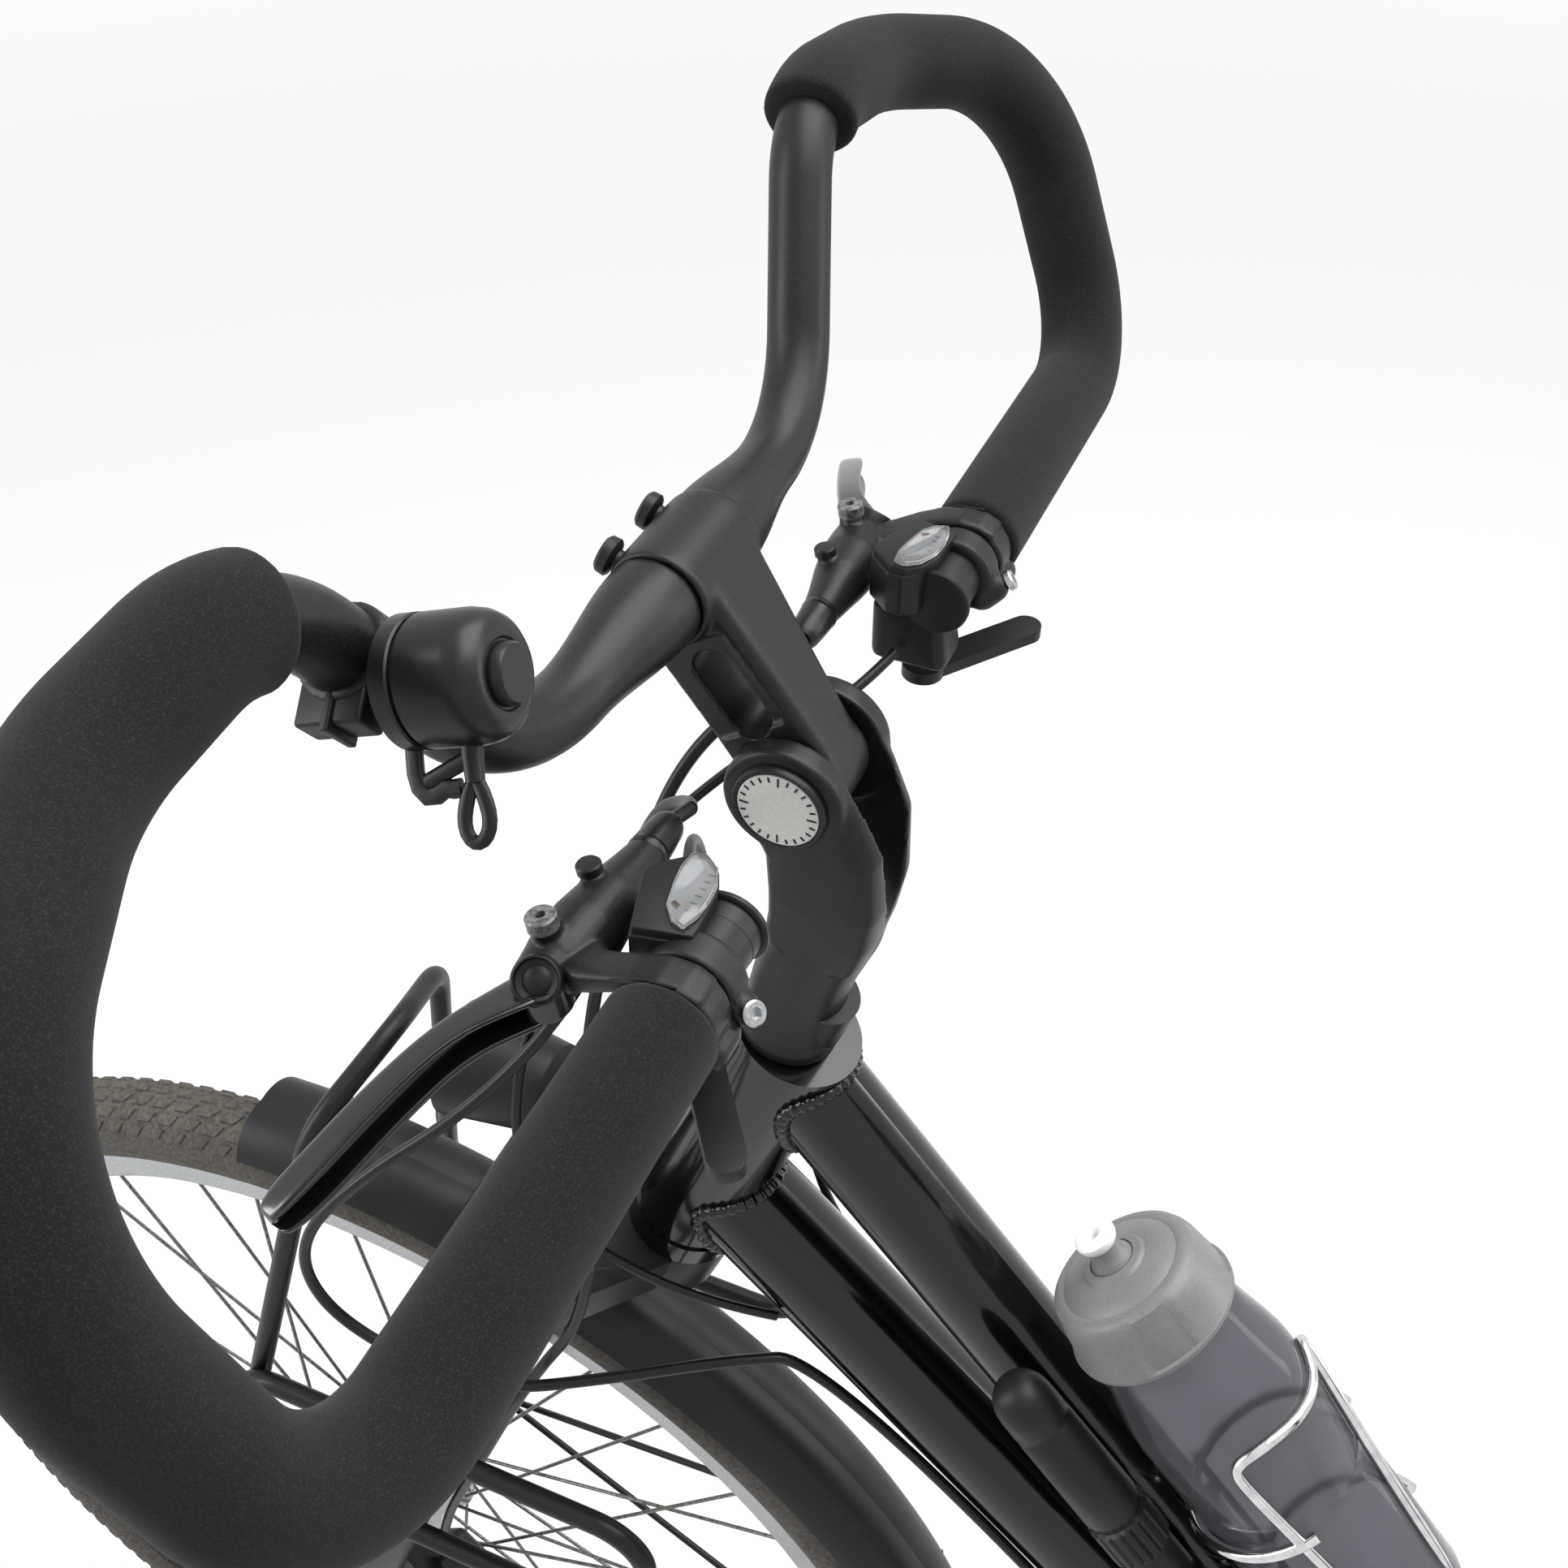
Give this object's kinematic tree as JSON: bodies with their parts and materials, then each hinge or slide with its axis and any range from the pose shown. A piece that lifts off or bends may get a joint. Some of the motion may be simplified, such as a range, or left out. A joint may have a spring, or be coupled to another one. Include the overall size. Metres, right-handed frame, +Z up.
{
  "type": "hybrid bicycle",
  "caption": "Step-through hybrid bicycle with a looped foam-covered touring handlebar on an adjustable stem, mudguards, racks, bottle and kickstand.",
  "frame": {"origin": "on the ground halfway between the two axles, in the wheels' middle plane", "axes": "-X forward, -Y to the rider's left, +Z up"},
  "size_m": [1.7899, 0.6454, 1.1896],
  "materials": {
    "gloss_black_frame": "gloss",
    "satin_black_metal": "satin",
    "black_foam": "matte cellular foam",
    "black_plastic": "fine grain",
    "black_lever_alloy": "satin",
    "black_hose": "smooth",
    "chrome_tube": "polished",
    "silver_alloy": "satin",
    "steel_drive": "machined",
    "tan_grey_tyre": "dusty rubber",
    "smoke_bottle": "translucent",
    "grey_cap": "satin",
    "white_valve": "satin",
    "black_saddle_cover": "grained",
    "red_lamp": "clear red"
  },
  "bodies": {
    "frame": {"head_tube": "gloss_black_frame", "top_tube": "gloss_black_frame", "down_tube": "gloss_black_frame", "seat_tube": "gloss_black_frame", "chain_stays": "gloss_black_frame", "seat_stays": "gloss_black_frame", "rear_mudguard": "black_plastic", "rear_rack": "satin_black_metal", "tail_light": "red_lamp", "bottle_cage": "chrome_tube", "bottle": "smoke_bottle", "bottle_cap": "grey_cap", "pump": "black_plastic", "chain": "steel_drive", "rear_derailleur": "black_plastic", "front_derailleur": "black_plastic", "rear_brake_caliper": "black_plastic", "control_cables": "black_hose"},
    "valve": {"bottle_valve": "white_valve"},
    "seat": {"seatpost": "satin_black_metal", "saddle_frame": "black_plastic", "saddle_pad": "black_saddle_cover"},
    "crank": {"crank_arms": "satin_black_metal", "chainrings": "steel_drive"},
    "left_pedal": {"pedal_left": "black_plastic"},
    "right_pedal": {"pedal_right": "black_plastic"},
    "cassette": {"cassette": "steel_drive"},
    "guide_pulley": {"guide_pulley": "black_plastic"},
    "tension_pulley": {"tension_pulley": "black_plastic"},
    "rear_wheel": {"rear_tyre": "tan_grey_tyre", "rear_rim": "silver_alloy", "rear_spokes": "steel_drive", "rear_hub": "silver_alloy", "rear_rotor": "steel_drive"},
    "kickstand": {"kickstand_leg": "satin_black_metal"},
    "steering": {"fork_crown": "satin_black_metal", "stanchions": "chrome_tube", "stem_riser": "satin_black_metal", "headlight": "black_plastic", "front_brake_hose": "black_hose"},
    "bar": {"stem_arm": "satin_black_metal", "handlebar": "satin_black_metal", "foam_grips": "black_foam", "brake_bodies": "black_plastic", "shifter_bodies": "black_plastic", "bell": "black_plastic"},
    "left_brake_lever": {"brake_lever_left": "black_lever_alloy"},
    "right_brake_lever": {"brake_lever_right": "black_lever_alloy"},
    "left_shift_lever": {"shift_lever_left": "black_plastic"},
    "right_shift_lever": {"shift_lever_right": "black_plastic"},
    "striker": {"bell_striker": "black_plastic"},
    "fork_lowers": {"fork_lowers": "satin_black_metal", "front_mudguard": "black_plastic", "front_rack": "satin_black_metal", "front_brake_caliper": "black_plastic"},
    "front_wheel": {"front_tyre": "tan_grey_tyre", "front_rim": "silver_alloy", "front_spokes": "steel_drive", "front_hub": "silver_alloy", "front_rotor": "steel_drive"}
  },
  "joints": [
    {"name": "steering", "type": "hinge", "parent": "frame", "child": "steering", "pos_m": [-0.32486, 0, 0.82325], "axis": [0.342, 0, 0.9397], "range_deg": [-60, 60], "deforming": ["control_cables"]},
    {"name": "stem_angle", "type": "hinge", "parent": "steering", "child": "bar", "pos_m": [-0.29929, 0, 1.02391], "axis": [0, 1, 0], "range_deg": [-36, 24], "deforming": ["control_cables", "front_brake_hose"]},
    {"name": "fork_suspension", "type": "slide", "parent": "steering", "child": "fork_lowers", "axis": [0.342, 0, 0.9397], "range_m": [0, 0.045], "stiffness_N_per_m": 8000, "springref_m": -0.02, "deforming": ["front_brake_hose"]},
    {"name": "front_wheel_spin", "type": "hinge", "parent": "fork_lowers", "child": "front_wheel", "pos_m": [-0.545, 0, 0.35], "axis": [0, 1, 0], "continuous": true},
    {"name": "rear_wheel_spin", "type": "hinge", "parent": "frame", "child": "rear_wheel", "pos_m": [0.545, 0, 0.35], "axis": [0, 1, 0], "continuous": true},
    {"name": "crank_spin", "type": "hinge", "parent": "frame", "child": "crank", "pos_m": [0.105, 0, 0.285], "axis": [0, 1, 0], "continuous": true},
    {"name": "cassette_spin", "type": "hinge", "parent": "frame", "child": "cassette", "pos_m": [0.545, 0, 0.35], "axis": [0, 1, 0], "continuous": true},
    {"name": "guide_pulley_spin", "type": "hinge", "parent": "frame", "child": "guide_pulley", "pos_m": [0.541, 0.0454, 0.272], "axis": [0, 1, 0], "continuous": true},
    {"name": "tension_pulley_spin", "type": "hinge", "parent": "frame", "child": "tension_pulley", "pos_m": [0.517, 0.0454, 0.216], "axis": [0, 1, 0], "continuous": true},
    {"name": "left_pedal_spin", "type": "hinge", "parent": "crank", "child": "left_pedal", "pos_m": [0.275, -0.138, 0.285], "axis": [0, 1, 0], "continuous": true},
    {"name": "right_pedal_spin", "type": "hinge", "parent": "crank", "child": "right_pedal", "pos_m": [-0.065, 0.138, 0.285], "axis": [0, 1, 0], "continuous": true},
    {"name": "left_brake_lever_pull", "type": "hinge", "parent": "bar", "child": "left_brake_lever", "pos_m": [-0.32688, -0.136, 1.02846], "axis": [-0.1736, 0, 0.9848], "range_deg": [0, 20], "stiffness_Nm_per_rad": 0.6, "springref_deg": -8.59},
    {"name": "right_brake_lever_pull", "type": "hinge", "parent": "bar", "child": "right_brake_lever", "pos_m": [-0.32688, 0.136, 1.02846], "axis": [0.1736, 0, -0.9848], "range_deg": [0, 20], "stiffness_Nm_per_rad": 0.6, "springref_deg": -8.59},
    {"name": "left_shift_lever_push", "type": "hinge", "parent": "bar", "child": "left_shift_lever", "pos_m": [-0.29349, -0.1, 0.9954], "axis": [0, 0, -1], "range_deg": [0, 25], "stiffness_Nm_per_rad": 0.3, "springref_deg": -5.73},
    {"name": "right_shift_lever_push", "type": "hinge", "parent": "bar", "child": "right_shift_lever", "pos_m": [-0.29349, 0.1, 0.9954], "axis": [0, 0, 1], "range_deg": [0, 25], "stiffness_Nm_per_rad": 0.3, "springref_deg": -5.73},
    {"name": "bell_striker_swing", "type": "hinge", "parent": "bar", "child": "striker", "pos_m": [-0.3274, -0.14493, 1.12491], "axis": [0.972, -0.1317, 0.1948], "range_deg": [0, 20], "stiffness_Nm_per_rad": 0.05, "springref_deg": -11.46},
    {"name": "kickstand_fold", "type": "hinge", "parent": "frame", "child": "kickstand", "pos_m": [0.433, -0.092, 0.30017], "axis": [0, -1, 0], "range_deg": [0, 85]},
    {"name": "saddle_height", "type": "slide", "parent": "frame", "child": "seat", "axis": [0.2924, 0, 0.9563], "range_m": [-0.05, 0.08]},
    {"name": "bottle_valve_pull", "type": "slide", "parent": "frame", "child": "valve", "axis": [-0.6455, 0, 0.7638], "range_m": [0, 0.006]}
  ],
  "couplings": [
    {"joint": "cassette_spin", "follows": "crank_spin", "ratio": 2},
    {"joint": "guide_pulley_spin", "follows": "crank_spin", "ratio": -3.2727},
    {"joint": "tension_pulley_spin", "follows": "crank_spin", "ratio": 3.2727}
  ]
}
